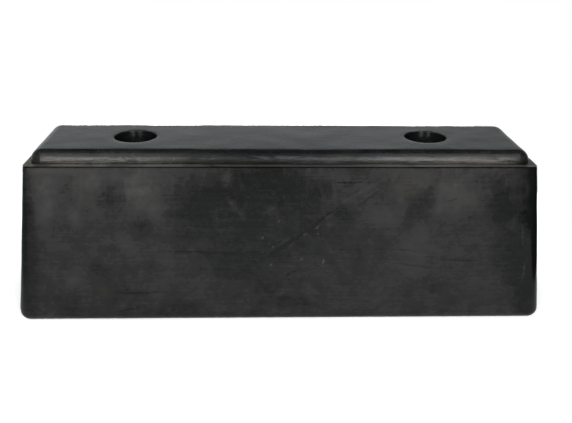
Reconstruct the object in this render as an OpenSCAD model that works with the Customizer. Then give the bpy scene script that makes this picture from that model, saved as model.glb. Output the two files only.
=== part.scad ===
// Dock bumper: one moulded rubber block, bolted to a wall through two deep wells.
// The origin is the centre of the mounting face. +X runs along the block and +Z out of
// the wall, towards the vehicle that meets the raised pad.

/* [Body] */
// Overall length, where the block is widest just above the mounting face
base_length = 450; // [340:1:900]
// Overall width, where the block is widest just above the mounting face
base_width = 133; // [100:1:250]
// Height of the body, from the mounting face to the parting land
body_height = 135; // [80:1:200]
// Draft of the body's sides, in degrees
body_draft = 5.5; // [1:0.5:7]
// Radius of the upright corners at the parting land
corner_r = 4; // [2:0.5:15]
// Radius of the rolled edge round the mounting face
base_edge_r = 8; // [2:0.5:12]
// Width of the broken edge on the outside of the parting land
land_edge = 1; // [0.5:0.1:3]

/* [Pad] */
// Width of the parting land along the two long sides of the raised pad
land_width = 8.5; // [4:0.5:14]
// Width of the parting land at the two ends of the raised pad
land_end_width = 3; // [2:0.5:14]
// Height of the raised pad above the land
pad_height = 10; // [6:0.5:25]
// Radius of the pad's upright corners
pad_corner_r = 11; // [4:0.5:20]
// Radius of the rolled edge round the pad's face
pad_edge_r = 9.5; // [1:0.5:15]

/* [Bolt wells] */
// Distance between the axes of the two wells
bolt_spacing = 256; // [120:1:260]
// Diameter of the wells that take the bolt heads and their washers
well_d = 36.5; // [24:0.5:42]
// Diameter of the holes for the bolt shanks
bolt_hole_d = 18; // [10:0.5:22]
// Thickness of the rubber seat under the bolt heads
seat_thickness = 40; // [20:1:70]

/* [Hidden] */
$fn = 96;
// Corner axes lie on a fine grid, so that the swept pieces meet on the same planes
grid_step = 0.01;
function on_grid(value) = round(value / grid_step) * grid_step;

// The sides lean in above the rolled edge of the base, by this much at the land
land_inset = (body_height - base_edge_r) * tan(body_draft);
foot_r = on_grid(corner_r + land_inset);
land_r = foot_r - land_inset;
axis_length = base_length - 2 * foot_r;
axis_width = base_width - 2 * foot_r;
pad_axis_inset = [
    on_grid(land_end_width + pad_corner_r - land_r),
    on_grid(land_width + pad_corner_r - land_r)
];
top_z = body_height + pad_height;

// A rolled edge leaves at least this much flat beside the axis of its corner
least_flat = 0.5;
base_roll_r = min(base_edge_r, foot_r - least_flat);
pad_roll_r = min(pad_edge_r, pad_corner_r - least_flat, pad_height - least_flat);
cut_margin = 1;

// Quarter of a disc, to the right of its centre and above it, or below it
module quarter_disc(r, below = false) {
    intersection() {
        circle(r);
        translate([0, below ? -r : 0]) square(r);
    }
}

// Half section of the body: X is the distance out from a corner's axis, Y the height.
// The base edge rolls up to the widest point, and the side leans in from there.
module body_section() {
    roll_centre = [foot_r - base_roll_r, base_roll_r];
    lean = land_inset / (body_height - base_roll_r);
    polygon([
        [0, 0],
        [roll_centre.x, 0],
        roll_centre,
        [foot_r, base_roll_r],
        [land_r + land_edge * lean, body_height - land_edge],
        [land_r + land_edge * lean - land_edge, body_height],
        [0, body_height]
    ]);
    translate(roll_centre) quarter_disc(base_roll_r, below = true);
}

// Half section of the raised pad, upright at the land and rolled over at its face
module pad_section() {
    roll_centre = [pad_corner_r - pad_roll_r, pad_height - pad_roll_r];
    polygon([
        [0, 0],
        [pad_corner_r, 0],
        [pad_corner_r, roll_centre.y],
        roll_centre,
        [roll_centre.x, pad_height],
        [0, pad_height]
    ]);
    translate(roll_centre) quarter_disc(pad_roll_r);
}

// Sweeps a half section round a rectangle of corner axes and fills the middle
module swept_block(length, width, height) {
    translate([-length / 2, -width / 2, 0]) cube([length, width, height]);
    for (turn = [0, 180]) {
        rotate(turn) {
            translate([-length / 2, width / 2, 0])
                rotate([90, 0, 90])
                    linear_extrude(length) children();
            translate([length / 2, width / 2, 0])
                rotate([90, 0, 0])
                    linear_extrude(width) children();
            translate([length / 2, width / 2, 0])
                rotate_extrude(angle = 90) children();
            translate([-length / 2, width / 2, 0])
                rotate(90)
                    rotate_extrude(angle = 90) children();
        }
    }
}

// Well for a bolt's head, and the hole for its shank through the seat
module bolt_well() {
    translate([0, 0, seat_thickness])
        cylinder(d = well_d, h = top_z - seat_thickness + cut_margin);
    translate([0, 0, -cut_margin])
        cylinder(d = bolt_hole_d, h = seat_thickness + 2 * cut_margin);
}

// The whole moulding: flared body, parting land, raised pad and bolt wells
module bumper_block() {
    color([0.17, 0.17, 0.18])
        difference() {
            union() {
                swept_block(axis_length, axis_width, body_height) body_section();
                translate([0, 0, body_height])
                    swept_block(axis_length - 2 * pad_axis_inset.x, axis_width - 2 * pad_axis_inset.y, pad_height)
                        pad_section();
            }
            for (side = [-1, 1])
                translate([side * bolt_spacing / 2, 0, 0]) bolt_well();
        }
}

bumper_block();
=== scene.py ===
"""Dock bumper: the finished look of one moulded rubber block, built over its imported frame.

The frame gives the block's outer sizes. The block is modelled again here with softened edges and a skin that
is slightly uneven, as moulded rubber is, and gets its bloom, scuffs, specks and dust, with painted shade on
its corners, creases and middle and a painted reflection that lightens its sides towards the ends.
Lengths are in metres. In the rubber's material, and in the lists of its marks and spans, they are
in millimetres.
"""

import math
from types import SimpleNamespace

import bmesh
import bpy
from mathutils import Matrix, Vector


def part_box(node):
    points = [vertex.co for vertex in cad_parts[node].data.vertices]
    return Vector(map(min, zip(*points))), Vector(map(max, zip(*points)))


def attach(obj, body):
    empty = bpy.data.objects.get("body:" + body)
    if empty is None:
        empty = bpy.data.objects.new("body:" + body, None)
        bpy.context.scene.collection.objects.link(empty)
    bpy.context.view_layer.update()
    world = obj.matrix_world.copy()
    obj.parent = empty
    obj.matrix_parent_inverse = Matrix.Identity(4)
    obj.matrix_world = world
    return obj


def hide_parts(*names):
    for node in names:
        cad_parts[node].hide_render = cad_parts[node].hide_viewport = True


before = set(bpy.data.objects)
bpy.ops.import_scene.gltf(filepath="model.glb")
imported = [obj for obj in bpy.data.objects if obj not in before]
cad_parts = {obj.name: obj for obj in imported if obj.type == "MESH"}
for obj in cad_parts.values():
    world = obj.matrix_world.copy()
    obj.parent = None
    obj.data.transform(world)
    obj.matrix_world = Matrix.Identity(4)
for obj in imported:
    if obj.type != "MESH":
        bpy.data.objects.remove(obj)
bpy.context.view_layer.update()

bl_info = {
    "name": "Dock Bumper",
    "version": (1, 0, 0),
    "blender": (4, 5, 0),
    "location": "3D View > Sidebar > Bumper",
    "description": "Models a moulded rubber dock bumper with two bolt wells",
    "category": "Add Mesh",
}

NODE = "bumper_block"
BODY = "root"
NODE_LOW, NODE_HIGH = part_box(NODE)

# The photograph's frame, in pixels, and the camera's sensor, in millimetres
PHOTO_WIDTH = 572
PHOTO_HEIGHT = 423
SENSOR_WIDTH = 36.0

# How finely the block is modelled
CORNER_SEGMENTS = 12
ROLL_SEGMENTS = 12
RIM_SEGMENTS = 3
WELL_SIDES = 96
SKIN_SPACING = 0.005
TOUCH = 1e-5
CUT_MARGIN = 0.01
SMOOTH_ANGLE = math.radians(40.0)

# Upright part of the normal from which a face is level, and up to which it is steep
LEVEL_NORMAL = 0.99
STEEP_NORMAL = 0.5

# Spacing of the broad and of the short waves in the skin
SWELL_SPACING = 0.09
RIPPLE_SPACING = 0.022

# How far under the land the middle of the parting groove is, as a share of the groove's height
GROOVE_DROP = 0.6

# Height at which the block has its overall length and width
WIDEST_HEIGHT = 0.008

# Smudges and patches of painted shade on the long sides: the middle along the block and above the wall, half
# the length and half the height, all in millimetres, the turn in degrees, and how much lighter the rubber is
# there
# The rows for the dark corners and the corner's foot, the darker right end, the darkest middle, the dark
# middle of the upper edge and the broad dark fields under, across and beside the middle are painted shade;
# the other rows are stains
SMUDGES_AND_SHADE = (
    ("pale wisp by the left corner", -194, 106, 14, 28, 6, 0.13),
    ("pale streak beside it", -172, 93, 6, 20, -24, 0.12),
    ("pale patch under the left well", -120, 118, 13, 20, 0, 0.15),
    ("pale streak right of the ovals", -106, 98, 9, 22, 8, 0.06),
    ("short pale smear", -46, 124, 5, 11, 10, 0.22),
    ("slanting pale wisp", -40, 101, 4, 17, -38, 0.16),
    ("pale blot low on the left", -173, 40, 13, 15, 0, 0.10),
    ("pale rub in the middle", -9, 98, 7, 9, 0, 0.12),
    ("broad pale rub on the right", 142, 108, 34, 24, 0, 0.14),
    ("pale patch by the right corner", 194, 125, 8, 9, 0, 0.07),
    ("pale band under the land on the left", -168, 126, 62, 12, 0, 0.06),
    ("pale rub beside the creases", 80, 92, 24, 14, 20, 0.08),
    ("pale field low on the right", 125, 52, 60, 26, 0, 0.06),
    ("upper dark oval", -143, 110, 14, 16, 12, -0.16),
    ("lower dark oval", -115, 81, 15, 17, 0, -0.15),
    ("dark field left of the middle", -79, 104, 26, 34, 10, -0.17),
    ("darkest middle", -22, 121, 26, 22, 0, -0.12),
    ("dark slant below it", -28, 88, 20, 16, 30, -0.10),
    ("dark middle of the upper edge", 8, 116, 36, 22, 0, -0.08),
    ("dark patch at the crease's end", 50, 94, 18, 11, 24, -0.08),
    ("dark slanting patch on the right", 114, 101, 14, 30, 34, -0.22),
    ("dark patch near the right corner", 181, 103, 13, 27, 0, -0.16),
    ("dark blot low on the left", -156, 50, 7, 9, 0, -0.09),
    ("darker left edge", -184, 54, 14, 12, 0, -0.06),
    ("dark blot at the lower left", -152, 29, 10, 9, 0, -0.08),
    ("dark blot at the bottom", 12, 17, 22, 10, 0, -0.07),
    ("dark rub at the lower right", 141, 16, 20, 9, 0, -0.07),
    ("black right corner", 216, 100, 20, 140, 0, -0.14),
    ("dark foot of the right corner", 207, 32, 12, 40, 0, -0.14),
    ("darker right end", 196, 78, 22, 70, 0, -0.15),
    ("dark left corner", -213, 78, 12, 120, 0, -0.24),
    ("dark band across the middle", -20, 100, 85, 34, 0, -0.07),
    ("dark field under the middle", -26, 58, 84, 48, 0, -0.06),
    ("dark field beside the middle", -52, 106, 28, 36, 0, -0.10),
)

# How ragged the edges of pale and of dark smudges are
PALE_RAGGED = 1.0
DARK_RAGGED = 0.25

# Brown rubs and the scuffed middle of the front, placed as the smudges are, and how strong they are
BROWN_RUBS = (
    ("brown rub under the right well", 106, 119, 20, 15, 0, 0.34),
    ("brown rub at the upper left", -163, 118, 12, 12, 0, 0.26),
    ("brown rub at the lower left", -150, 28, 10, 10, 0, 0.22),
    ("brown rub under the land on the left", -180, 131, 34, 4, 0, 0.30),
)
SCUFFED_MIDDLE = (
    ("scuffed middle", 10, 74, 36, 27, 0, 1.0),
)

# Creases and cuts sunk in the front: both ends along the block and above the wall, and the half
# width, all in millimetres, and how deep and dark the line is, from 0 to 1
# Their darkening of the rubber is partly dark marks and partly painted shade in the grooves
CREASES = (
    ("crease", -15, 56, 22, 81, 2.6, 1.0),
    ("end of the crease", 20, 80, 42, 98, 2.2, 0.8),
    ("short crease", 0, 40, 16, 47, 2.2, 0.32),
    ("dark line beside the scratches", 58, 98, 82, 116, 1.3, 0.22),
    ("level scratch", 42, 121.5, 68, 121.9, 1.2, 0.60),
    ("dark line left of the middle", -101, 62.6, -29, 60.8, 1.5, 0.48),
    ("low dark line", -140, 25.4, -100, 26.5, 1.5, 0.50),
    ("level line right of the middle", 75, 63.6, 119, 62.2, 1.5, 0.32),
    ("level line further right", 131, 54.4, 169, 53.6, 1.8, 0.40),
    ("slanting line on the right", 87, 52.6, 141, 45.2, 1.5, 0.30),
    ("dark nick", 138, 106, 148, 108, 1.4, 0.42),
    ("second dark nick", 154, 91, 160, 93, 1.4, 0.50),
    ("curved rub at the lower left", -140, 9, -112, 15, 1.4, 0.26),
    ("dark rim of the upper oval", -131, 121, -130, 103, 2.2, 0.16),
    ("lower end of that rim", -130, 104, -138, 95, 2.0, 0.13),
)

# Pale scratches and chips on the front, placed as the creases are, and how much lighter they are
SCRATCHES = (
    ("pale edge of the crease", -12, 61, 20, 83, 1.6, 0.03),
    ("upper slanting scratch", 43, 101, 87, 126, 1.6, 0.14),
    ("lower slanting scratch", 62, 104, 86, 121, 1.5, 0.13),
    ("pale edge of the level scratch", 44, 123.2, 66, 123.4, 0.8, 0.12),
    ("pale nick", 80, 26, 87, 30, 1.0, 0.30),
    ("second pale nick", 77, 16, 83, 20, 0.9, 0.22),
    ("pale flecks by the right corner", 203, 86, 204, 66, 1.6, 0.16),
    ("lower pale flecks", 207, 52, 206, 36, 1.8, 0.16),
    ("pale rim of the upper oval", -127.5, 120, -127, 102, 1.8, 0.10),
    ("row of flecks on the left", -146, 73, -138, 69, 1.6, 0.14),
    ("middle of the row", -136, 69, -126, 66, 1.8, 0.16),
    ("end of the row", -123, 71, -112, 67, 1.6, 0.12),
    ("chip left of the crease", -18, 73, -15.5, 75.5, 1.2, 0.50),
    ("chip above the crease", 17, 76, 20, 78.5, 1.3, 0.60),
    ("chip at the crease's end", 28, 82, 31, 85, 1.3, 0.55),
    ("chip under the crease", 15, 54, 17.5, 56.5, 1.4, 0.50),
    ("low chip", -10.5, 50, -8, 52, 1.4, 0.45),
    ("upright chip", 33.6, 51, 35, 56, 1.4, 0.55),
    ("chip in the dark middle", -4, 87, -2, 89.5, 1.2, 0.45),
)

# Marks lie at least this far from the block's axis, in millimetres, and inwards from there they
# fade this many times faster
SIDE_DEPTH_MM = 45.0
INWARD_STRETCH = 10.0

# Cloudy patterns: the size of the patches in millimetres, how detailed and how warped they are,
# and the levels of the noise between which they come up
CLOUDS = {
    "broad bloom": ((62.0, 62.0, 48.0), 5.0, 0.6, 0.34, 0.68),
    "fine bloom": ((15.0, 15.0, 13.0), 6.0, 0.6, 0.30, 0.70),
    "upright wisps": ((13.0, 13.0, 34.0), 5.0, 2.4, 0.46, 0.76),
    "mottle": ((4.5, 4.5, 3.6), 4.0, 0.6, 0.30, 0.70),
    "hairlines": ((40.0, 40.0, 1.3), 3.0, 0.3, 0.30, 0.70),
    "streaks along the pad": ((70.0, 3.0, 40.0), 5.0, 0.4, 0.35, 0.70),
    "drifts of dust": ((26.0, 26.0, 12.0), 5.0, 0.6, 0.25, 0.60),
    "rubbed dust": ((30.0, 9.0, 3.5), 5.0, 0.8, 0.42, 0.68),
    "strokes along the roll": ((16.0, 2.4, 2.4), 4.0, 0.8, 0.44, 0.70),
}

# Spans over which layers come or go, in millimetres: above the wall, then out from the middle of
# the block, then along it, then across it
WISPS_UP = (70.0, 120.0)
# Painted reflection: the long sides grow lighter upwards over this span
REFLECTION_UP = (30.0, 110.0)
# The painted shade and the wear of the right corner rise over this span
WEAR_AND_SHADE_UP = (12.0, 60.0)
# Painted reflection: the long sides grow lighter towards their ends over this span
REFLECTION_OUT = (20.0, 110.0)
DUST_OUT = (30.0, 140.0)
RUBBED_OUT = (70.0, 160.0)
RUBBED_END = (180.0, 205.0)
ROLL_MIDDLE = (40.0, 110.0)
DUST_RIGHT = (90.0, 200.0)
LEFT_EARTH = (-212.0, -150.0)
RIGHT_EARTH = (175.0, 212.0)
# The right corner takes painted shade over this span, losing its bloom
CORNER_SHADE = (212.0, 219.0)
POLISHED_CORNER = (196.0, 217.0)
FRONT_ROLL = (-30.0, -20.0)

# How far the right corner moves in along the block for each millimetre up
CORNER_SLOPE = 0.083

# Strengths of the layers of bloom, and the soft floor under them
BLOOM_LEVEL = 0.12
BLOOM_FLOOR = 0.012
BLOOM_SOFTNESS = 0.08
BROAD_BLOOM = 0.10
FINE_BLOOM = 0.10
WISP_BLOOM = 0.12
MOTTLE_BLOOM = 0.07
HAIRLINE_BLOOM = 0.06
STREAK_BLOOM = 0.16
# The creases take bloom away by this much, as painted shade in their grooves
CREASE_PAINTED_SHADE = -0.40

# Strengths of the other layers in the rubber's colour
INNER_DUST = 0.30
RUBBED_DUST = 0.45
FLECK_SHADE = 0.35
SCUFFED_SHADE = 0.5
SCUFF_SHADE = 0.35
WELL_SHADE = 0.9

# Dullness of the clean sides, the scuffs, the wells and their rims, and what creases and the worn
# corner take from the roughness
SIDE_DULLNESS = 0.16
SCUFF_DULLNESS = 0.5
WELL_DULLNESS = 0.2
RIM_DULLNESS = 0.8
CREASE_POLISH = -0.12
CORNER_POLISH = -0.17

# Heights of the skin's relief, and the spacing of the turned rings in the wells
GRAIN_MM = 0.020
SHORT_WAVES_MM = 0.10
HAIRLINES_MM = 0.003
STROKES_MM = 0.06
FLECKS_MM = -0.10
CREASES_MM = -0.05
RINGS_MM = 0.027
RING_SPACING_MM = 0.8

# Parts of a direction over which the studio goes from one side to the next
LEFT_SPAN = (-0.6, -0.2)
WALL_SPAN = (0.20, 0.80)
WALL_END_SPAN = (0.12, 0.36)
ROOM_SPAN = (-0.85, -0.45)
CEILING_SPAN = (0.20, 0.60)

# How far the floor's shadow reaches from front to back, and the share of its reach that is even
SHADOW_DEPTH = 0.25
SHADOW_SHARE = 0.65

# Soft lamps: the place, the point that it faces, the width, the height and the setting of its power
LAMPS = (
    ("left_strip", (-0.45, -1.05, 0.505), (0.0, 0.0, 0.10), 0.20, 0.68, "strip_power"),
    ("right_strip", (0.325, -1.05, 0.505), (0.0, 0.0, 0.10), 0.26, 0.68, "strip_power"),
    ("left_top", (-0.66, -0.78, 1.35), (-0.66, 0.0, 0.10), 0.85, 1.1, "top_power"),
    ("right_top", (0.64, -0.78, 1.35), (0.64, 0.0, 0.10), 0.85, 1.1, "top_power"),
    ("low_back", (0.0, 1.2, 0.065), (0.0, 0.0, 0.065), 1.0, 0.11, "back_power"),
)

MM_PER_METRE = 1000.0
WHITE = (1.0, 1.0, 1.0, 1.0)

# Inputs of the node groups that are vectors. The others are numbers
VECTOR_INPUTS = {"Place", "Patch size", "Middle", "Reach", "Start", "End"}


def length(name, description, default):
    """A distance that a user may change."""
    return bpy.props.FloatProperty(
        name=name, description=description, default=default, min=0.0,
        unit="LENGTH", subtype="DISTANCE", precision=4,
    )


def angle(name, description, degrees):
    """An angle that a user may change."""
    return bpy.props.FloatProperty(
        name=name, description=description, default=math.radians(degrees),
        unit="ROTATION", subtype="ANGLE",
    )


def colour(name, description, default):
    """A linear colour that a user may change."""
    return bpy.props.FloatVectorProperty(
        name=name, description=description, default=default,
        subtype="COLOR", size=3, min=0.0, max=1.0,
    )


def amount(name, description, default):
    """A share from 0 to 1 that a user may change."""
    return bpy.props.FloatProperty(
        name=name, description=description, default=default,
        min=0.0, max=1.0, subtype="FACTOR",
    )


def pixels(name, description, default):
    """A distance in pixels of the photograph that a user may change."""
    return bpy.props.FloatProperty(name=name, description=description, default=default)


def power(name, description, default):
    """The power of a lamp that a user may change."""
    return bpy.props.FloatProperty(
        name=name, description=description, default=default, min=0.0, unit="POWER")


class BumperSizes(bpy.types.PropertyGroup):
    """Sizes of the moulded block."""

    block_length: length("Length", "Overall length, just above the mounting face", NODE_HIGH.x - NODE_LOW.x)
    block_width: length("Width", "Overall width, just above the mounting face", NODE_HIGH.y - NODE_LOW.y)
    block_height: length("Height", "From the mounting face to the pad's face", NODE_HIGH.z - NODE_LOW.z)
    side_draft: angle("Side draft", "Lean of the body's long sides", 5.5)
    end_draft: angle("End draft", "Lean of the body's ends", 4.75)
    foot_corner: length("Foot corner", "Radius of the upright corners at the foot", 0.0100)
    land_corner: length("Land corner", "Radius of the upright corners at the land", 0.0042)
    base_roll: length("Base roll", "Radius of the rolled edge round the mounting face", 0.0075)
    groove_height: length("Groove height", "Height of the parting groove under the land's lip", 0.0011)
    groove_depth: length("Groove depth", "Depth of the parting groove", 0.0016)
    land_width: length("Land width", "Width of the land along the pad's long sides", 0.0085)
    land_end_width: length("Land end width", "Width of the land at the pad's ends", 0.003)
    pad_height: length("Pad height", "Height of the raised pad above the land", 0.010)
    pad_corner: length("Pad corner", "Radius of the pad's upright corners", 0.011)
    pad_roll: length("Pad roll", "Radius of the rolled edge round the pad's face", 0.0095)
    bolt_spacing: length("Bolt spacing", "Distance between the two wells", 0.256)
    well_radius: length("Well radius", "Radius of the wells for the bolt heads", 0.01825)
    well_rim: length("Well rim", "Radius of the softened mouth of a well", 0.0005)
    bolt_hole_radius: length("Bolt hole radius", "Radius of the holes for the bolts", 0.009)
    seat_thickness: length("Seat thickness", "Rubber left under the bolt heads", 0.040)
    skin_swell: length("Skin swell", "Depth of the broad waves in the skin", 0.0011)
    skin_ripple: length("Skin ripple", "Depth of the short waves in the skin", 0.0005)


class RubberLook(bpy.types.PropertyGroup):
    """Colours of the rubber and of what has settled on it."""

    rubber: colour("Rubber", "The clean black rubber", (0.0030, 0.0032, 0.0033))
    bloom: colour("Bloom", "The grey bloom that handling leaves in patches", (0.060, 0.0595, 0.057))
    dust: colour("Dust", "The pale dust that lies on the land", (0.15, 0.140, 0.120))
    earth: colour("Earth", "The brown dust that lies at the ends of the land", (0.122, 0.096, 0.066))
    brown: colour("Brown", "The brown tinge of dried dirt", (0.034, 0.031, 0.023))
    scuff: colour("Scuff", "The bluish rub marks on the pad's rolled edge", (0.052, 0.054, 0.064))
    fleck: colour("Fleck", "Small pale flecks in the skin", (0.16, 0.16, 0.155))
    polish: amount("Polish", "Roughness of the clean rubber", 0.25)
    dullness: amount("Dullness", "Roughness where bloom or dust lies", 0.58)
    gloss_level: amount("Gloss level", "Specular level of the rubber", 0.20)


class StudioSetup(bpy.types.PropertyGroup):
    """Camera, floor and lamps."""

    camera_place: bpy.props.FloatVectorProperty(
        name="Camera place", description="Where the camera stands",
        default=(-0.0219, -0.6784, 0.3420), unit="LENGTH", subtype="TRANSLATION", size=3,
    )
    camera_heading: angle("Heading", "The camera's turn from looking along +Y", -2.209)
    camera_tilt: angle("Tilt", "How far the camera looks down", 17.357)
    camera_roll: angle("Roll", "The camera's turn about its own axis", 0.734)
    focal_pixels: pixels("Focal length", "The focal length, in pixels of the photograph", 799.7)
    horizon_row: pixels("Axis row", "Row of the photograph that the camera's axis meets", 153.1)
    floor_width: length("Floor width", "Width of the floor, along the block", 0.66)
    floor_depth: length("Floor depth", "Depth of the floor, from front to back", 2.20)
    floor_front: length("Floor front", "How far the floor reaches in front of the block", 0.60)
    floor_colour: colour("Floor", "The pale floor", (0.66, 0.66, 0.66))
    floor_glow: amount("Floor white", "White that the floor shows to the camera beside the block", 0.52)
    floor_gloss: amount("Floor in gloss", "White that the floor shows in the rubber's gloss", 0.12)
    strip_power: power("Strip lamps", "Power of each upright strip lamp beside the camera", 8.5)
    top_power: power("Top lamps", "Power of each soft lamp above the camera", 8.0)
    back_power: power("Back lamp", "Power of the low lamp behind the block", 9.0)
    wall_level: amount("Back wall", "Brightness of the wall behind the block", 0.75)
    wall_fall: amount("Wall's right end", "Share of that brightness at the wall's right end", 0.68)
    room_level: amount("Room", "Brightness of the room behind the camera", 0.14)
    left_level: amount("Left side", "Brightness of the room left of the block", 0.34)
    right_level: amount("Right side", "Brightness of the room right of the block", 0.02)
    ceiling_level: amount("Ceiling", "Brightness of the ceiling", 0.05)
    wall_tinge: colour("Wall tinge", "Colour of the studio's walls", (0.985, 1.0, 0.998))
    left_tinge: colour("Left tinge", "Colour of the room left of the block", (0.75, 1.0, 0.97))
    ceiling_tinge: colour("Ceiling tinge", "Colour of the ceiling", (0.66, 0.82, 1.0))


def deselect_objects():
    """Leaves no object selected."""
    bpy.ops.object.select_all(action="DESELECT")


def make_active(piece):
    """Selects one object alone and makes it the active one."""
    deselect_objects()
    piece.select_set(True)
    bpy.context.view_layer.objects.active = piece


def pick(piece, kind, wanted):
    """Selects, in edit mode, the faces, edges or vertices that pass a test."""
    bpy.ops.mesh.select_mode(type=kind)
    bpy.ops.mesh.select_all(action="DESELECT")
    mesh = bmesh.from_edit_mesh(piece.data)
    items = {"VERT": mesh.verts, "EDGE": mesh.edges, "FACE": mesh.faces}[kind]
    found = [item for item in items if wanted(item)]
    if not found:
        raise RuntimeError(f"no {kind.lower()} of {piece.name} was found to work on")
    for item in found:
        item.select_set(True)
    mesh.select_flush_mode()
    bmesh.update_edit_mesh(piece.data)


def round_rim(piece, height, steep_above, radius, segments):
    """Rounds the edges at one height where a level face meets a steep one above or below it."""
    def is_rim(edge):
        if len(edge.link_faces) != 2:
            return False
        if any(abs(vertex.co.z - height) > TOUCH for vertex in edge.verts):
            return False
        level = [face for face in edge.link_faces if abs(face.normal.z) > LEVEL_NORMAL]
        steep = [face for face in edge.link_faces if abs(face.normal.z) < STEEP_NORMAL]
        if not level or not steep:
            return False
        return (steep[0].calc_center_median().z > height) == steep_above

    pick(piece, "EDGE", is_rim)
    bpy.ops.mesh.bevel(offset=radius, segments=segments, affect="EDGES", clamp_overlap=False)


def pick_open_edges(piece, height):
    """Selects the open edges of the mesh at one height."""
    pick(piece, "EDGE", lambda edge: edge.is_boundary
         and all(abs(vertex.co.z - height) < TOUCH for vertex in edge.verts))


def shape_plate(plate_length, plate_width, corner, height):
    """Turns the selected unit plane, in edit mode, into a plate with round corners."""
    bpy.ops.transform.resize(value=(plate_length, plate_width, 1.0), center_override=(0.0, 0.0, height))
    bpy.ops.mesh.select_mode(type="VERT")
    bpy.ops.mesh.bevel(offset=corner, segments=CORNER_SEGMENTS, affect="VERTICES", clamp_overlap=False)


def land_size(sizes):
    """Length and width of the outline of the land."""
    rise = sizes.block_height - sizes.pad_height - WIDEST_HEIGHT
    lean = rise * math.tan(sizes.side_draft)
    return sizes.block_length - 2.0 * lean, sizes.block_width - 2.0 * lean


def model_body(sizes):
    """Models the flared body: a round-cornered plate drawn up and narrowed to the land."""
    land_height = sizes.block_height - sizes.pad_height
    rise = land_height - sizes.base_roll
    land_length, land_width = land_size(sizes)
    foot_length = land_length + 2.0 * rise * math.tan(sizes.end_draft)
    foot_width = land_width + 2.0 * rise * math.tan(sizes.side_draft)
    bpy.ops.mesh.primitive_plane_add(size=1.0, location=(0.0, 0.0, sizes.base_roll))
    body = bpy.context.active_object
    body.name = "moulded_block"
    body.data.name = "moulded_block"
    bpy.ops.object.transform_apply(location=True, rotation=True, scale=True)
    bpy.ops.object.mode_set(mode="EDIT")
    bpy.ops.mesh.select_all(action="SELECT")
    shape_plate(foot_length, foot_width, sizes.foot_corner, sizes.base_roll)
    bpy.ops.mesh.select_all(action="SELECT")
    taper = sizes.foot_corner - sizes.land_corner
    bpy.ops.mesh.inset(thickness=taper, depth=rise)
    narrowing = (land_length / (foot_length - 2.0 * taper), land_width / (foot_width - 2.0 * taper), 1.0)
    bpy.ops.transform.resize(value=narrowing, center_override=(0.0, 0.0, land_height))
    bpy.ops.mesh.delete(type="ONLY_FACE")
    pick_open_edges(body, sizes.base_roll)
    bpy.ops.mesh.extrude_region_move(TRANSFORM_OT_translate={"value": (0.0, 0.0, -sizes.base_roll)})
    bpy.ops.mesh.edge_face_add()
    return body


def model_pad(body, sizes):
    """Models the raised pad and joins it to the body by the land round it."""
    land_height = sizes.block_height - sizes.pad_height
    land_length, land_width = land_size(sizes)
    pad_length = land_length - 2.0 * sizes.land_end_width
    pad_width = land_width - 2.0 * sizes.land_width
    bpy.ops.mesh.select_all(action="DESELECT")
    bpy.ops.mesh.primitive_plane_add(size=1.0, location=(0.0, 0.0, land_height))
    shape_plate(pad_length, pad_width, sizes.pad_corner, land_height)
    pick(body, "FACE", lambda face: face.normal.z > LEVEL_NORMAL)
    bpy.ops.mesh.inset(thickness=0.0, depth=sizes.pad_height)
    pick_open_edges(body, land_height)
    bpy.ops.mesh.bridge_edge_loops()
    bpy.ops.mesh.select_all(action="SELECT")
    bpy.ops.mesh.normals_make_consistent(inside=False)


def cut_parting_groove(body, sizes, land_height):
    """Cuts the fine groove of the parting line all round, under the lip of the land."""
    up = (0.0, 0.0, 1.0)
    middle = land_height - sizes.groove_height * GROOVE_DROP
    for height in (middle - sizes.groove_height / 2.0, middle):
        bpy.ops.mesh.select_all(action="SELECT")
        bpy.ops.mesh.bisect(plane_co=(0.0, 0.0, height), plane_no=up, threshold=TOUCH)
    pick(body, "VERT", lambda vertex: abs(vertex.co.z - middle) < TOUCH)
    land_length, land_width = land_size(sizes)
    narrower = 2.0 * sizes.groove_depth
    bpy.ops.transform.resize(
        value=(1.0 - narrower / land_length, 1.0 - narrower / land_width, 1.0),
        center_override=(0.0, 0.0, middle))


def roll_edges(body, sizes):
    """Rounds the edges of the mounting face and of the pad's face, and cuts the parting groove."""
    land_height = sizes.block_height - sizes.pad_height
    round_rim(body, 0.0, True, sizes.base_roll - TOUCH, ROLL_SEGMENTS)
    cut_parting_groove(body, sizes, land_height)
    round_rim(body, sizes.block_height, False, sizes.pad_roll, ROLL_SEGMENTS)
    bpy.ops.mesh.select_all(action="SELECT")
    bpy.ops.mesh.remove_doubles(threshold=2.0 * TOUCH)
    bpy.ops.object.mode_set(mode="OBJECT")


def model_core_pin(sizes, side):
    """Models the stepped pin of the mould that leaves one bolt well and its hole."""
    deselect_objects()
    pin_top = sizes.block_height + CUT_MARGIN
    depth = pin_top - sizes.seat_thickness
    middle = (side * sizes.bolt_spacing / 2.0, 0.0, sizes.seat_thickness + depth / 2.0)
    bpy.ops.mesh.primitive_cylinder_add(
        vertices=WELL_SIDES, radius=sizes.well_radius, depth=depth, location=middle)
    pin = bpy.context.active_object
    bpy.ops.object.transform_apply(location=True, rotation=True, scale=True)
    bpy.ops.object.mode_set(mode="EDIT")
    pick(pin, "FACE", lambda face: face.normal.z < -LEVEL_NORMAL)
    bpy.ops.mesh.inset(thickness=sizes.well_radius - sizes.bolt_hole_radius)
    reach = -sizes.seat_thickness - CUT_MARGIN
    bpy.ops.mesh.extrude_region_move(TRANSFORM_OT_translate={"value": (0.0, 0.0, reach)})
    bpy.ops.object.mode_set(mode="OBJECT")
    return pin


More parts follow.
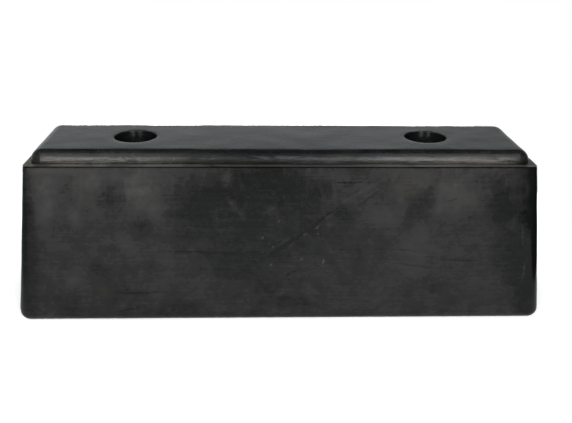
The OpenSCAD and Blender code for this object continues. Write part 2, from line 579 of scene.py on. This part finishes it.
def cut_wells(body, sizes):
    """Takes both bolt wells out of the block and softens their mouths."""
    for side in (-1, 1):
        pin = model_core_pin(sizes, side)
        make_active(body)
        cut = body.modifiers.new("well", "BOOLEAN")
        cut.operation = "DIFFERENCE"
        cut.solver = "EXACT"
        cut.object = pin
        bpy.ops.object.modifier_apply(modifier=cut.name)
        bpy.data.objects.remove(pin)
    bpy.ops.object.mode_set(mode="EDIT")
    round_rim(body, sizes.block_height, False, sizes.well_rim, RIM_SEGMENTS)
    round_rim(body, 0.0, True, sizes.well_rim, RIM_SEGMENTS)
    bpy.ops.object.mode_set(mode="OBJECT")


def cut_skin(body, axis, low, high):
    """Cuts the skin at even steps along one axis, so that it can be waved."""
    steps = round((high - low) / SKIN_SPACING)
    normal = Vector((0.0, 0.0, 0.0))
    normal[axis] = 1.0
    for step in range(1, steps):
        place = normal * (low + (high - low) * step / steps)
        bpy.ops.mesh.select_all(action="SELECT")
        bpy.ops.mesh.bisect(plane_co=place, plane_no=normal, threshold=TOUCH)


def is_skin(place, sizes):
    """Tells whether a point is on the outside that may be waved, above the base and clear of the wells."""
    from_well = math.hypot(abs(place.x) - sizes.bolt_spacing / 2.0, place.y)
    return place.z > sizes.base_roll and from_well > sizes.well_radius + 2.0 * sizes.well_rim


def wave_skin(body, sizes):
    """Gives the skin the slight waves of a moulded block, and leaves the mounting face flat."""
    make_active(body)
    bpy.ops.object.mode_set(mode="EDIT")
    bpy.ops.mesh.select_mode(type="FACE")
    half_length = sizes.block_length / 2.0
    half_width = sizes.block_width / 2.0
    cut_skin(body, 0, -half_length, half_length)
    cut_skin(body, 1, -half_width, half_width)
    cut_skin(body, 2, 0.0, sizes.block_height)
    bpy.ops.object.mode_set(mode="OBJECT")
    skin = body.vertex_groups.new(name="skin")
    skin.add([v.index for v in body.data.vertices if is_skin(v.co, sizes)], 1.0, "REPLACE")
    swell = ("swell", sizes.skin_swell, SWELL_SPACING)
    ripple = ("ripple", sizes.skin_ripple, RIPPLE_SPACING)
    for name, depth, spacing in (swell, ripple):
        waves = bpy.data.textures.new(name, "CLOUDS")
        waves.noise_scale = spacing
        waves.noise_depth = 1
        wave = body.modifiers.new(name, "DISPLACE")
        wave.texture = waves
        wave.texture_coords = "LOCAL"
        wave.vertex_group = skin.name
        wave.strength = depth
        wave.mid_level = 0.5
        bpy.ops.object.modifier_apply(modifier=wave.name)
    body.vertex_groups.clear()
    bpy.ops.object.shade_smooth_by_angle(angle=SMOOTH_ANGLE)


class Value:
    """A value in a node tree. Arithmetic on it adds Math nodes to that tree."""

    def __init__(self, socket):
        self.socket = socket
        self.tree = socket.id_data

    def __add__(self, other):
        return maths(self.tree, "ADD", self, other)

    def __sub__(self, other):
        return maths(self.tree, "SUBTRACT", self, other)

    def __rsub__(self, other):
        return maths(self.tree, "SUBTRACT", other, self)

    def __mul__(self, other):
        return maths(self.tree, "MULTIPLY", self, other)

    def __truediv__(self, other):
        return maths(self.tree, "DIVIDE", self, other)


def node(tree, kind, label, inputs=None, **settings):
    """Adds a labelled node. Each input is a plain value, or the socket or Value that feeds it."""
    made = tree.nodes.new(kind)
    made.name = label
    made.label = label
    for key, value in settings.items():
        setattr(made, key, value)
    for key, value in (inputs or {}).items():
        if isinstance(value, Value):
            value = value.socket
        if isinstance(value, bpy.types.NodeSocket):
            tree.links.new(value, made.inputs[key])
        else:
            made.inputs[key].default_value = value
    return made


def maths(tree, operation, *operands):
    """Adds a Math node and gives its result."""
    made = node(tree, "ShaderNodeMath", operation.lower(), dict(enumerate(operands)), operation=operation)
    return Value(made.outputs["Value"])


def larger(first, second):
    """Gives the larger of two numbers."""
    return maths(first.tree, "MAXIMUM", first, second)


def multiply_add(value, factor, addend):
    """Gives a number times a factor, plus another number."""
    return maths(value.tree, "MULTIPLY_ADD", value, factor, addend)


def clamped(value, label):
    """Keeps a number between 0 and 1."""
    return Value(node(value.tree, "ShaderNodeClamp", label, {"Value": value}).outputs["Result"])


def centred(mask, strength):
    """Turns a mask from 0 to 1 into a change of a level, up and down alike."""
    return (mask - 0.5) * strength


def vector_maths(tree, operation, *operands, output="Vector"):
    """Adds a Vector Math node and gives its result."""
    made = node(
        tree, "ShaderNodeVectorMath", operation.lower(), dict(enumerate(operands)), operation=operation)
    return Value(made.outputs[output])


def split(tree, label, vector):
    """Gives the three parts of a vector."""
    return [Value(part) for part in node(tree, "ShaderNodeSeparateXYZ", label, {0: vector}).outputs]


def remap(value, low, high, low_result=0.0, high_result=1.0):
    """Maps a number smoothly from one range to another, and keeps within it without a clamp."""
    made = node(value.tree, "ShaderNodeMapRange", "remap", {
        "Value": value,
        "From Min": low,
        "From Max": high,
        "To Min": low_result,
        "To Max": high_result,
    }, interpolation_type="SMOOTHSTEP", clamp=False)
    return Value(made.outputs["Result"])


def band(value, rise, fall, rest=0.0):
    """Gives 1 between two ranges of a number: it rises from 0 over the first and falls over the second."""
    return remap(value, *rise) * remap(value, *fall, 1.0, rest)


def opaque(tone):
    """A colour with full cover, as nodes take it."""
    return (*tone, 1.0)


def blend_colour(factor, first, second):
    """Mixes two colours."""
    made = node(factor.tree, "ShaderNodeMix", "blend", {0: factor, 6: first, 7: second}, data_type="RGBA")
    return made.outputs[2]


def new_group(name, inputs, output):
    """Starts a node group with named inputs and one output. Gives its tree, its inputs and its output."""
    tree = bpy.data.node_groups.new(name, "ShaderNodeTree")
    for label in inputs:
        kind = "NodeSocketVector" if label in VECTOR_INPUTS else "NodeSocketFloat"
        tree.interface.new_socket(name=label, in_out="INPUT", socket_type=kind)
    tree.interface.new_socket(name=output, in_out="OUTPUT", socket_type="NodeSocketFloat")
    start = tree.nodes.new("NodeGroupInput")
    end = tree.nodes.new("NodeGroupOutput")
    given = {label: Value(start.outputs[label]) for label in inputs}
    return tree, given, end.inputs[output]


def use_group(tree, group, label, inputs):
    """Places a node group in a material with its own values and gives its output."""
    return Value(node(tree, "ShaderNodeGroup", label, inputs, node_tree=group).outputs[0])


def cloud_group():
    """Cloudy patches, stretched along any axis, between two levels of a noise."""
    tree, given, result = new_group(
        "Cloudy patches", ("Place", "Patch size", "Detail", "Warp", "Low", "High"), "Mask")
    noise = node(tree, "ShaderNodeTexNoise", "clouds", {
        "Vector": vector_maths(tree, "DIVIDE", given["Place"], given["Patch size"]),
        "Scale": 1.0,
        "Detail": given["Detail"],
        "Roughness": 0.58,
        "Distortion": given["Warp"],
    })
    mask = remap(Value(noise.outputs["Fac"]), given["Low"], given["High"])
    tree.links.new(mask.socket, result)
    return tree


def speck_group():
    """Small specks, scattered one to a cell, of which only a share is there."""
    tree, given, result = new_group("Specks", ("Place", "Spacing", "Radius", "Share"), "Mask")
    cells = node(tree, "ShaderNodeTexVoronoi", "cells", {
        "Vector": vector_maths(tree, "DIVIDE", given["Place"], given["Spacing"]),
        "Scale": 1.0,
    })
    away = Value(cells.outputs["Distance"]) * given["Spacing"]
    chance = node(tree, "ShaderNodeSeparateColor", "chance", {0: cells.outputs["Color"]})
    there = maths(tree, "LESS_THAN", chance.outputs["Red"], given["Share"])
    radius = given["Radius"] * (Value(chance.outputs["Green"]) + 0.4)
    near = remap(away / radius, 0.4, 1.0, 1.0, 0.0)
    mask = near * there
    tree.links.new(mask.socket, result)
    return tree


def smudge_group():
    """One placed patch with a soft, ragged edge, added to what lies under it. Smudges, rubs and painted
    shade are laid with it.
    """
    tree, given, result = new_group(
        "Smudge", ("Under", "Place", "Middle", "Reach", "Turn", "Ragged", "Strength"), "Result")
    turned = node(tree, "ShaderNodeVectorRotate", "turn", {
        "Vector": given["Place"], "Center": given["Middle"], "Angle": given["Turn"],
    }, rotation_type="Y_AXIS")
    offset = vector_maths(tree, "SUBTRACT", turned.outputs["Vector"], given["Middle"])
    offset = vector_maths(tree, "DIVIDE", offset, given["Reach"])
    away = vector_maths(tree, "LENGTH", offset, output="Value")
    edge = node(tree, "ShaderNodeTexNoise", "ragged edge", {
        "Vector": given["Place"], "Scale": 0.13, "Detail": 6.0, "Distortion": 1.0})
    ragged = centred(Value(edge.outputs["Fac"]), given["Ragged"])
    share = remap(away + ragged, 0.10, 1.15, 1.0, 0.0)
    added = multiply_add(share, given["Strength"], given["Under"])
    tree.links.new(added.socket, result)
    return tree


def line_group():
    """One placed scratch or crease that thins towards its ends, added to what lies under it."""
    tree, given, result = new_group(
        "Scratch", ("Under", "Place", "Start", "End", "Width", "Strength"), "Result")
    wander = node(tree, "ShaderNodeTexNoise", "wander", {
        "Vector": given["Place"], "Scale": 0.09, "Detail": 2.0})
    drift = vector_maths(tree, "SUBTRACT", wander.outputs["Color"], (0.5, 0.5, 0.5))
    drift = vector_maths(tree, "MULTIPLY", drift, (2.6, 0.0, 2.6))
    place = vector_maths(tree, "ADD", given["Place"], drift)
    along = vector_maths(tree, "SUBTRACT", given["End"], given["Start"])
    offset = vector_maths(tree, "SUBTRACT", place, given["Start"])
    reach = vector_maths(tree, "DOT_PRODUCT", offset, along, output="Value")
    whole = vector_maths(tree, "DOT_PRODUCT", along, along, output="Value")
    share = clamped(reach / whole, "share")
    nearest = node(
        tree, "ShaderNodeVectorMath", "nearest", {0: along, "Scale": share}, operation="SCALE")
    offset = vector_maths(tree, "SUBTRACT", offset, nearest.outputs["Vector"])
    away = vector_maths(tree, "LENGTH", offset, output="Value")
    taper = share * (1.0 - share) * 4.0
    width = multiply_add(taper, given["Width"], 0.05)
    line = remap(away / width, 0.0, 1.0, 1.0, 0.0)
    gaps = node(tree, "ShaderNodeTexNoise", "gaps", {"Vector": given["Place"], "Scale": 0.35, "Detail": 3.0})
    line = line * remap(Value(gaps.outputs["Fac"]), 0.34, 0.60, 0.25, 1.0)
    added = multiply_add(line, given["Strength"], given["Under"])
    tree.links.new(added.socket, result)
    return tree


def studio_floor(setup):
    """Adds the pale floor, which shows white to the camera and keeps a soft shadow."""
    deselect_objects()
    bpy.ops.mesh.primitive_plane_add(size=1.0)
    floor = bpy.context.active_object
    floor.name = "studio_floor"
    floor.scale = (setup.floor_width, setup.floor_depth, 1.0)
    floor.location = (0.0, setup.floor_depth / 2.0 - setup.floor_front, 0.0)
    bpy.ops.object.transform_apply(location=True, rotation=True, scale=True)
    paint = bpy.data.materials.new("studio_floor")
    paint.use_nodes = True
    tree = paint.node_tree
    tree.nodes.clear()
    matt = node(tree, "ShaderNodeBsdfDiffuse", "matt floor", {"Color": opaque(setup.floor_colour)})
    light_path = node(tree, "ShaderNodeLightPath", "light path")
    position = node(tree, "ShaderNodeNewGeometry", "position")
    reach = (setup.floor_width / 2.0, SHADOW_DEPTH, 1.0)
    near = vector_maths(tree, "DIVIDE", position.outputs["Position"], reach)
    away = vector_maths(tree, "LENGTH", near, output="Value")
    glow = remap(away, SHADOW_SHARE, 1.0, setup.floor_glow, 1.0)
    in_view = Value(light_path.outputs["Is Camera Ray"]) * glow
    in_gloss = Value(light_path.outputs["Is Glossy Ray"]) * setup.floor_gloss
    white = node(tree, "ShaderNodeEmission", "white floor", {
        "Color": WHITE, "Strength": larger(in_view, in_gloss)})
    both = node(tree, "ShaderNodeAddShader", "white to the camera", {
        0: matt.outputs["BSDF"], 1: white.outputs["Emission"]})
    node(tree, "ShaderNodeOutputMaterial", "output", {"Surface": both.outputs["Shader"]})
    floor.data.materials.append(paint)


def studio_world(setup):
    """Lights the studio from a pale back wall, with a dark ceiling, and shows white to the camera."""
    world = bpy.data.worlds.new("studio")
    world.use_nodes = True
    bpy.context.scene.world = world
    tree = world.node_tree
    tree.nodes.clear()
    direction = node(tree, "ShaderNodeTexCoord", "direction")
    along, back, up = split(tree, "direction parts", direction.outputs["Generated"])
    left = remap(along, *LEFT_SPAN, 1.0, 0.0)
    sides = remap(left, 0.0, 1.0, setup.right_level, setup.left_level)
    wall = remap(back, *WALL_SPAN, sides, setup.wall_level)
    wall = wall * remap(along, *WALL_END_SPAN, 1.0, setup.wall_fall)
    room = remap(back, *ROOM_SPAN, setup.room_level, sides)
    around = larger(wall, room)
    ceiling = remap(up, *CEILING_SPAN)
    level = node(tree, "ShaderNodeMix", "walls to ceiling", {
        0: ceiling, 2: around, 3: setup.ceiling_level}, data_type="FLOAT")
    light_path = node(tree, "ShaderNodeLightPath", "light path")
    seen = Value(light_path.outputs["Is Camera Ray"])
    strength = larger(Value(level.outputs[0]), seen)
    tinge = blend_colour(left, opaque(setup.wall_tinge), opaque(setup.left_tinge))
    tinge = blend_colour(ceiling, tinge, opaque(setup.ceiling_tinge))
    tinge = blend_colour(seen, tinge, WHITE)
    walls = node(tree, "ShaderNodeBackground", "studio walls", {"Color": tinge, "Strength": strength})
    node(tree, "ShaderNodeOutputWorld", "output", {"Surface": walls.outputs["Background"]})


def studio_lamp(name, place, aim, width, height, power_of):
    """Adds a soft oblong lamp that faces a point."""
    turn = (Vector(aim) - Vector(place)).to_track_quat("-Z", "Y").to_euler()
    bpy.ops.object.light_add(type="AREA", location=place, rotation=turn)
    lamp = bpy.context.active_object
    lamp.name = name
    lamp.data.shape = "RECTANGLE"
    lamp.data.size = width
    lamp.data.size_y = height
    lamp.data.energy = power_of


def studio_camera(setup):
    """Adds the camera where the photograph was taken from."""
    bpy.ops.object.camera_add()
    camera = bpy.context.active_object
    camera.name = "photo_camera"
    camera.matrix_world = (
        Matrix.Translation(setup.camera_place)
        @ Matrix.Rotation(setup.camera_heading, 4, "Z")
        @ Matrix.Rotation(math.pi / 2.0 - setup.camera_tilt, 4, "X")
        @ Matrix.Rotation(setup.camera_roll, 4, "Z")
    )
    camera.data.sensor_width = SENSOR_WIDTH
    camera.data.lens = setup.focal_pixels * SENSOR_WIDTH / PHOTO_WIDTH
    camera.data.shift_y = (setup.horizon_row - PHOTO_HEIGHT / 2.0) / PHOTO_WIDTH
    camera.data.dof.use_dof = False
    bpy.context.scene.camera = camera


def in_mm(metres):
    """A length in millimetres, to a tenth."""
    return round(metres * MM_PER_METRE, 1)


def block_regions(tree, sizes):
    """Finds the places and the regions of the block that the layers of its rubber share."""
    at = SimpleNamespace(tree=tree, clouds=cloud_group())
    land_length, land_width = land_size(sizes)
    at.end_mm = in_mm(land_length / 2.0)
    at.edge_mm = in_mm(land_width / 2.0)
    at.land_mm = in_mm(sizes.block_height - sizes.pad_height)
    at.top_mm = in_mm(sizes.block_height)
    at.well_mm = in_mm(sizes.well_radius)
    coordinates = node(tree, "ShaderNodeTexCoord", "place")
    to_mm = (MM_PER_METRE, MM_PER_METRE, MM_PER_METRE)
    at.place = vector_maths(tree, "MULTIPLY", coordinates.outputs["Object"], to_mm)
    at.along, at.across, at.up = split(tree, "place parts", at.place)
    at.from_middle = maths(tree, "ABSOLUTE", at.along)
    at.from_axis = maths(tree, "ABSOLUTE", at.across)
    at.side = remap(at.up, at.land_mm - 2.0, at.land_mm, 1.0, 0.0)
    at.face = remap(at.up, at.top_mm - 1.2, at.top_mm - 0.2)
    well_offset = node(tree, "ShaderNodeCombineXYZ", "from the well's axis", {
        "X": at.from_middle - in_mm(sizes.bolt_spacing / 2.0), "Y": at.across})
    at.from_well = vector_maths(tree, "LENGTH", well_offset.outputs["Vector"], output="Value")
    at.well = remap(at.from_well, at.well_mm, at.well_mm + 0.7, 1.0, 0.0)
    at.roll = (1.0 - at.side) * (1.0 - at.face)
    return at


def mark_place(at, label, along, depth):
    """A place for marks that moves away from all of them behind the long sides."""
    behind = larger(depth, 0.0) * INWARD_STRETCH
    made = node(at.tree, "ShaderNodeCombineXYZ", label, {"X": along, "Y": behind, "Z": at.up})
    return made.outputs["Vector"]


def side_place(at):
    """A place on either long side, with the far side turned about the block's middle."""
    facing = maths(at.tree, "SIGN", at.across) * -1.0
    along = at.along * facing
    depth = SIDE_DEPTH_MM - maths(at.tree, "ABSOLUTE", at.across)
    return mark_place(at, "side place", along, depth)


def front_place(at):
    """A place on the front alone."""
    return mark_place(at, "front place", at.along, at.across + SIDE_DEPTH_MM)


def lay_smudges(tree, under, place, group, smudges):
    """Lays a list of placed patches over what lies under them: smudges and rubs, and on the long sides
    painted shade as well.
    """
    for label, along, up, half_length, half_height, turn, strength in smudges:
        under = use_group(tree, group, label, {
            "Under": under,
            "Place": place,
            "Middle": (along, 0.0, up),
            "Reach": (half_length, half_length, half_height),
            "Turn": math.radians(-turn),
            "Ragged": PALE_RAGGED if strength > 0.0 else DARK_RAGGED,
            "Strength": strength,
        })
    return under


def lay_lines(tree, under, place, group, lines):
    """Lays a list of placed lines over what lies under them."""
    for label, start, start_up, end, end_up, width, strength in lines:
        under = use_group(tree, group, label, {
            "Under": under,
            "Place": place,
            "Start": (start, 0.0, start_up),
            "End": (end, 0.0, end_up),
            "Width": width,
            "Strength": strength,
        })
    return under


def cloud(at, label):
    """One of the cloudy patterns, all over the block."""
    size, detail, warp, low, high = CLOUDS[label]
    return use_group(at.tree, at.clouds, label, {
        "Place": at.place, "Patch size": size, "Detail": detail, "Warp": warp, "Low": low, "High": high})


def bloom_and_painted_light(at, smudge):
    """Broad and fine clouds, upright wisps high on the sides, a painted reflection that lightens the sides
    towards their ends and upwards, and the placed smudges with painted shade.
    """
    broad = cloud(at, "broad bloom")
    fine = cloud(at, "fine bloom")
    wisps = cloud(at, "upright wisps")
    upper = remap(at.up, *WISPS_UP) * at.side
    bloom = centred(broad, BROAD_BLOOM) + BLOOM_LEVEL
    bloom = bloom + centred(fine, FINE_BLOOM)
    bloom = bloom + wisps * upper * WISP_BLOOM
    # Painted reflection: the long sides grow lighter towards their ends and higher up
    painted_reflection = remap(at.from_middle, *REFLECTION_OUT) * at.side
    bloom = multiply_add(painted_reflection, remap(at.up, *REFLECTION_UP, 0.02, 0.10), bloom)
    # The placed smudges include painted shade on the corners, the right end and across the middle
    bloom = lay_smudges(at.tree, bloom, side_place(at), smudge, SMUDGES_AND_SHADE)
    return maths(at.tree, "SMOOTH_MAX", bloom, BLOOM_FLOOR, BLOOM_SOFTNESS)


def textured_bloom(at, bloom):
    """Adds the fine texture to the bloom, and gives its hairlines too."""
    mottle = cloud(at, "mottle")
    hairlines = cloud(at, "hairlines")
    streaks = cloud(at, "streaks along the pad")
    bloom = bloom + centred(mottle, MOTTLE_BLOOM)
    bloom = bloom + centred(hairlines, HAIRLINE_BLOOM) * at.side
    bloom = bloom + centred(streaks, STREAK_BLOOM) * at.face
    return bloom, hairlines


def bloom_with_corner_shade(at, bloom):
    """Paints shade on the right corner by taking its bloom away, and takes bloom away along the middle of
    the roll. Gives the corner's slope and how its shade and wear rise too.
    """
    corner_out = multiply_add(at.up, CORNER_SLOPE, at.along)
    worn_up = remap(at.up, *WEAR_AND_SHADE_UP, 0.5, 1.0) * at.side
    # Painted shade: the right corner loses its bloom and turns darker
    painted_corner_shade = remap(corner_out, *CORNER_SHADE) * worn_up
    bloom = bloom * (1.0 - painted_corner_shade)
    thinner_on_roll = at.roll * remap(at.from_middle, *ROLL_MIDDLE, 0.5, 0.0)
    bloom = bloom * (1.0 - thinner_on_roll)
    return bloom, corner_out, worn_up


def settled_dust(at):
    """Dust on the outer land and up the foot of the pad's roll, and how brown it is towards the ends."""
    land_mm = at.land_mm
    edge_mm = at.edge_mm
    land = band(at.up, (land_mm - 0.8, land_mm - 0.3), (land_mm + 0.4, land_mm + 1.2))
    outer = band(at.from_axis, (edge_mm - 6.9, edge_mm - 4.5), (edge_mm - 1.5, edge_mm + 0.1), 0.4)
    outer = larger(outer, remap(at.from_middle, at.end_mm - 3.3, at.end_mm - 1.3))
    inner = band(at.up, (land_mm - 0.2, land_mm + 0.6), (land_mm + 1.0, land_mm + 2.0))
    drift = cloud(at, "drifts of dust")
    thick = remap(at.from_middle, *DUST_OUT, 0.34, 0.82)
    thick = thick * remap(at.along, *DUST_RIGHT, 1.0, 0.5)
    dust = land * outer * remap(drift, 0.0, 1.0, 0.35, 1.0)
    dust = dust * thick
    foot = band(at.up, (land_mm + 0.6, land_mm + 2.0), (land_mm + 3.5, land_mm + 7.5))
    rubbed = cloud(at, "rubbed dust")
    ends = remap(at.from_middle, *RUBBED_OUT, 0.10, 1.0) * remap(at.from_middle, *RUBBED_END, 1.0, 0.15)
    rubbed = rubbed * foot * ends
    inner = inner * ends * drift
    dust = larger(dust, inner * INNER_DUST)
    dust = larger(dust, rubbed * RUBBED_DUST)
    earth = remap(at.along, *LEFT_EARTH, 1.0, 0.0) + remap(at.along, *RIGHT_EARTH, 0.0, 0.25)
    return dust, earth


def pale_flecks(at, on_front, smudge):
    """Flecks all over, and more of them in the scuffed middle of the front."""
    specks = speck_group()
    flecks = use_group(at.tree, specks, "flecks", {
        "Place": at.place, "Spacing": 11.0, "Radius": 0.42, "Share": 0.22})
    scuffed = lay_smudges(at.tree, 0.0, on_front, smudge, SCUFFED_MIDDLE)
    dense = use_group(at.tree, specks, "flecks of the scuffed middle", {
        "Place": at.place, "Spacing": 4.2, "Radius": 0.75, "Share": 0.20})
    return larger(flecks * FLECK_SHADE, dense * scuffed * SCUFFED_SHADE)


def roll_scuffs(at):
    """Strokes along the pad's roll, and the rub marks that they leave along its middle."""
    land_mm = at.land_mm
    strokes = cloud(at, "strokes along the roll")
    marked = band(at.up, (land_mm + 2.6, land_mm + 4.4), (land_mm + 5.4, land_mm + 7.2))
    marked = marked * remap(at.from_middle, *ROLL_MIDDLE, 1.0, 0.25)
    marked = marked * remap(at.across, *FRONT_ROLL, 1.0, 0.4)
    return strokes, strokes * (marked * at.roll)


def rubber_colour(at, look, layers):
    """The colour of the rubber under all its layers."""
    rubber = opaque(look.rubber)
    shade = blend_colour(layers.bloom, rubber, opaque(look.bloom))
    shade = blend_colour(layers.scuffs * SCUFF_SHADE, shade, opaque(look.scuff))
    brown = lay_smudges(at.tree, 0.0, layers.on_front, layers.smudge, BROWN_RUBS)
    shade = blend_colour(brown, shade, opaque(look.brown))
    settled = blend_colour(layers.earth, opaque(look.dust), opaque(look.earth))
    shade = blend_colour(layers.dust, shade, settled)
    shade = blend_colour(layers.flecks, shade, opaque(look.fleck))
    return blend_colour(at.well * WELL_SHADE, shade, rubber)


def rubber_roughness(at, look, layers):
    """Dull where bloom or dust lies and on the rims of the wells, polished in creases and by wear."""
    well_mm = at.well_mm
    matt = larger(at.side * SIDE_DULLNESS, larger(layers.bloom, layers.dust))
    matt = larger(matt, layers.scuffs * SCUFF_DULLNESS)
    matt = matt * remap(at.well, 0.0, 1.0, 1.0, WELL_DULLNESS)
    rim = band(at.from_well, (well_mm, well_mm + 0.2), (well_mm + 0.5, well_mm + 1.0))
    rim = rim * remap(at.up, at.top_mm - 1.2, at.top_mm - 0.6)
    matt = larger(matt, rim * RIM_DULLNESS)
    rough = remap(matt, 0.0, 1.0, look.polish, look.dullness)
    rough = multiply_add(layers.sunk, CREASE_POLISH, rough)
    worn = remap(layers.corner_out, *POLISHED_CORNER) * layers.worn_up
    return multiply_add(worn, CORNER_POLISH, rough)


def rubber_height(at, layers):
    """Relief of the skin in millimetres, and the turned rings in the wells."""
    grain = node(at.tree, "ShaderNodeTexNoise", "grain", {"Vector": at.place, "Scale": 0.9, "Detail": 3.0})
    waves = node(at.tree, "ShaderNodeTexNoise", "short waves", {
        "Vector": at.place, "Scale": 0.16, "Detail": 2.0})
    height = Value(grain.outputs["Fac"]) * GRAIN_MM
    height = multiply_add(Value(waves.outputs["Fac"]), SHORT_WAVES_MM, height)
    height = multiply_add(layers.hairlines, HAIRLINES_MM, height)
    height = multiply_add(layers.strokes * at.roll, STROKES_MM, height)
    height = multiply_add(layers.flecks, FLECKS_MM, height)
    height = multiply_add(layers.sunk, CREASES_MM, height)
    height = height * (1.0 - at.well)
    rings = maths(at.tree, "SINE", at.up * (2.0 * math.pi / RING_SPACING_MM))
    rings = rings * remap(at.up, at.top_mm - 4.0, at.top_mm - 0.8, 1.0, 0.2)
    return multiply_add(rings * at.well, RINGS_MM, height)


def rubber_layers(at):
    """Everything that lies on the rubber or is worn into it, and the painted shade and reflection, from the
    bloom up to the rub marks.
    """
    layers = SimpleNamespace(smudge=smudge_group())
    line = line_group()
    bloom = bloom_and_painted_light(at, layers.smudge)
    bloom, layers.hairlines = textured_bloom(at, bloom)
    layers.on_front = front_place(at)
    bloom = lay_lines(at.tree, bloom, layers.on_front, line, SCRATCHES)
    layers.sunk = lay_lines(at.tree, 0.0, layers.on_front, line, CREASES)
    # Painted shade: creases and cuts take bloom away, darkening their grooves
    bloom = clamped(multiply_add(layers.sunk, CREASE_PAINTED_SHADE, bloom), "bloom")
    layers.bloom, layers.corner_out, layers.worn_up = bloom_with_corner_shade(at, bloom)
    layers.dust, layers.earth = settled_dust(at)
    layers.flecks = pale_flecks(at, layers.on_front, layers.smudge)
    layers.strokes, layers.scuffs = roll_scuffs(at)
    return layers


def rubber_material(look, sizes):
    """The black rubber: bloom and smudges with painted shade and a painted reflection, scratches, dust round
    the pad, flecks and a fine grain.
    """
    paint = bpy.data.materials.new("moulded_rubber")
    paint.use_nodes = True
    tree = paint.node_tree
    tree.nodes.clear()
    at = block_regions(tree, sizes)
    layers = rubber_layers(at)
    shade = rubber_colour(at, look, layers)
    rough = rubber_roughness(at, look, layers)
    height = rubber_height(at, layers)
    bump = node(tree, "ShaderNodeBump", "skin", {
        "Strength": 1.0, "Distance": 1.0 / MM_PER_METRE, "Height": height})
    shader = node(tree, "ShaderNodeBsdfPrincipled", "rubber", {
        "Base Color": shade,
        "Roughness": rough,
        "Specular IOR Level": look.gloss_level,
        "Normal": bump.outputs["Normal"],
    })
    node(tree, "ShaderNodeOutputMaterial", "output", {"Surface": shader.outputs["BSDF"]})
    return paint


class BUMPER_OT_block(bpy.types.Operator):
    """Model the moulded rubber block with its land, pad and bolt wells"""

    bl_idname = "bumper.block"
    bl_label = "Moulded Block"
    bl_options = {"REGISTER", "UNDO"}

    def execute(self, context):
        sizes = context.scene.bumper_sizes
        deselect_objects()
        block = model_body(sizes)
        model_pad(block, sizes)
        roll_edges(block, sizes)
        cut_wells(block, sizes)
        wave_skin(block, sizes)
        block.data.materials.clear()
        block.data.materials.append(rubber_material(context.scene.bumper_look, sizes))
        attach(block, BODY)
        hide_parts(NODE)
        return {"FINISHED"}


class BUMPER_OT_studio(bpy.types.Operator):
    """Set up the pale floor, the soft lamps and the camera"""

    bl_idname = "bumper.studio"
    bl_label = "Studio"
    bl_options = {"REGISTER", "UNDO"}

    def execute(self, context):
        setup = context.scene.bumper_studio
        studio_floor(setup)
        studio_world(setup)
        for name, place, aim, width, height, setting in LAMPS:
            studio_lamp(name, place, aim, width, height, getattr(setup, setting))
        studio_camera(setup)
        context.scene.view_settings.view_transform = "Standard"
        return {"FINISHED"}


class BUMPER_PT_panel(bpy.types.Panel):
    """Sizes, colours and steps of the dock bumper"""

    bl_idname = "BUMPER_PT_panel"
    bl_label = "Dock Bumper"
    bl_space_type = "VIEW_3D"
    bl_region_type = "UI"
    bl_category = "Bumper"

    def draw(self, context):
        scene = context.scene
        for settings in (scene.bumper_sizes, scene.bumper_look, scene.bumper_studio):
            column = self.layout.box().column()
            for name in settings.bl_rna.properties.keys():
                if name not in ("rna_type", "name"):
                    column.prop(settings, name)
        self.layout.operator(BUMPER_OT_block.bl_idname)
        self.layout.operator(BUMPER_OT_studio.bl_idname)


CLASSES = (
    BumperSizes,
    RubberLook,
    StudioSetup,
    BUMPER_OT_block,
    BUMPER_OT_studio,
    BUMPER_PT_panel,
)


def register():
    """Adds the classes and their settings to Blender."""
    for cls in CLASSES:
        bpy.utils.register_class(cls)
    bpy.types.Scene.bumper_sizes = bpy.props.PointerProperty(type=BumperSizes)
    bpy.types.Scene.bumper_look = bpy.props.PointerProperty(type=RubberLook)
    bpy.types.Scene.bumper_studio = bpy.props.PointerProperty(type=StudioSetup)


def unregister():
    """Takes the settings and the classes out of Blender again."""
    del bpy.types.Scene.bumper_studio
    del bpy.types.Scene.bumper_look
    del bpy.types.Scene.bumper_sizes
    for cls in reversed(CLASSES):
        bpy.utils.unregister_class(cls)


def main():
    """Builds the bumper and its studio."""
    register()
    bpy.ops.bumper.block()
    bpy.ops.bumper.studio()


if __name__ == "__main__":
    main()
